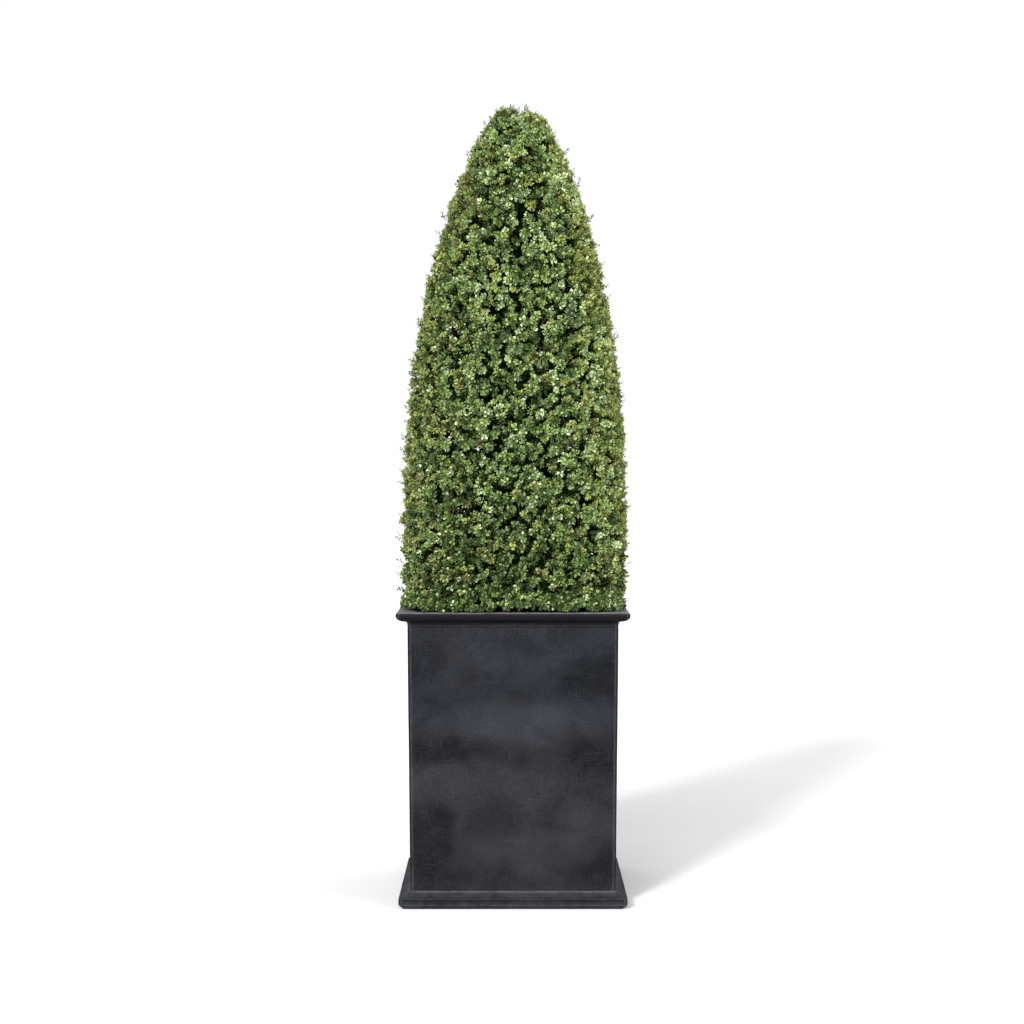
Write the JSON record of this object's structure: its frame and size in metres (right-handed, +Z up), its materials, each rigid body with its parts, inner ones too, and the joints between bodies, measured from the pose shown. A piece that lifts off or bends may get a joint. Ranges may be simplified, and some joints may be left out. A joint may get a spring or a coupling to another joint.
{
  "type": "boxwood cone topiary in a square planter",
  "caption": "Boxwood shrub clipped to a tall blunt cone, on a short stem in compost, in a square charcoal planter with a moulded rim and a plinth.",
  "frame": {"origin": "on the ground, under the middle of the planter's flat underside", "axes": "+Z up along the stem, -Y towards the viewer of the front face, +X to that viewer's right"},
  "size_m": [0.6032, 0.6037, 2.0606],
  "materials": {
    "charcoal_composite": "matte",
    "compost": "matte",
    "boxwood_bark": "matte",
    "boxwood_leaf": "satin"
  },
  "bodies": {
    "root": {"planter": "charcoal_composite", "compost": "compost", "stem": "boxwood_bark", "crown": "boxwood_leaf"}
  },
  "joints": []
}
